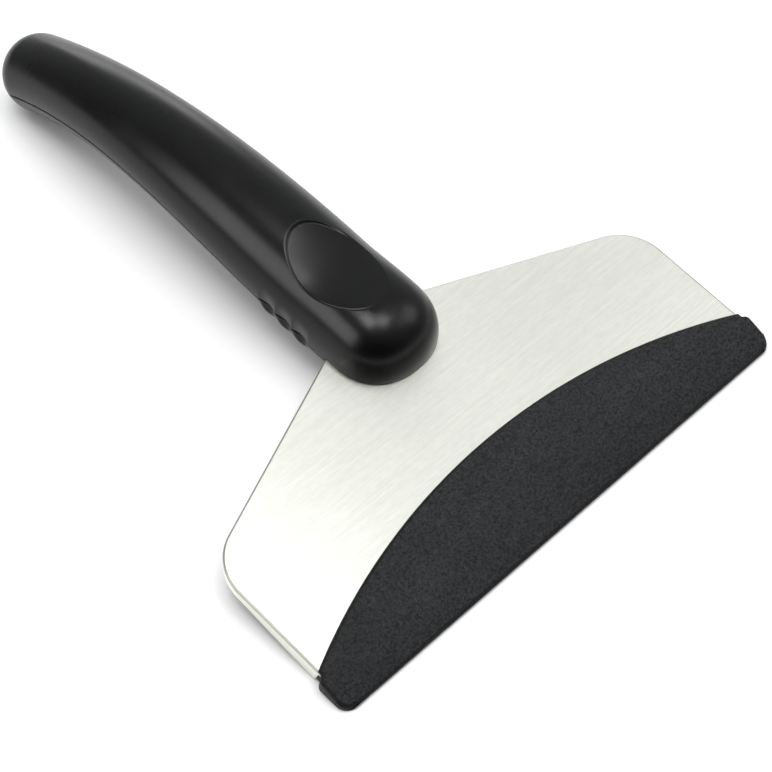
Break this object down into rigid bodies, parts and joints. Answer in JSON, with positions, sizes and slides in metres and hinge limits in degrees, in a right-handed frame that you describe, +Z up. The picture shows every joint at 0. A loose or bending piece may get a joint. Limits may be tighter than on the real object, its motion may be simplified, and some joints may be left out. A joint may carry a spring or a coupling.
{
  "type": "windshield ice scraper",
  "caption": "Flat steel blade plate with a crescent plastic scraping edge, screwed into an arched two-shell handle with a thumb recess.",
  "frame": {"origin": "centre of the bounding box at the level of the surface that the scraper lies on, with its scraping edge and its handle's tail resting", "axes": "+X along the scraping edge, +Y from the scraping edge towards the handle's tail, +Z up"},
  "size_m": [0.13, 0.1788, 0.0295],
  "materials": {
    "blade_steel": "fine straight brushing, satin",
    "grained_plastic": "fine moulded grain, matte",
    "handle_plastic": "smooth satin",
    "screw_steel": "zinc plated"
  },
  "bodies": {
    "root": {"blade_plate": "blade_steel", "edge_guard": "grained_plastic", "handle_upper_shell": "handle_plastic", "handle_lower_shell": "handle_plastic", "front_tang_screw": "screw_steel", "rear_tang_screw": "screw_steel", "tail_screw": "screw_steel"}
  },
  "joints": []
}
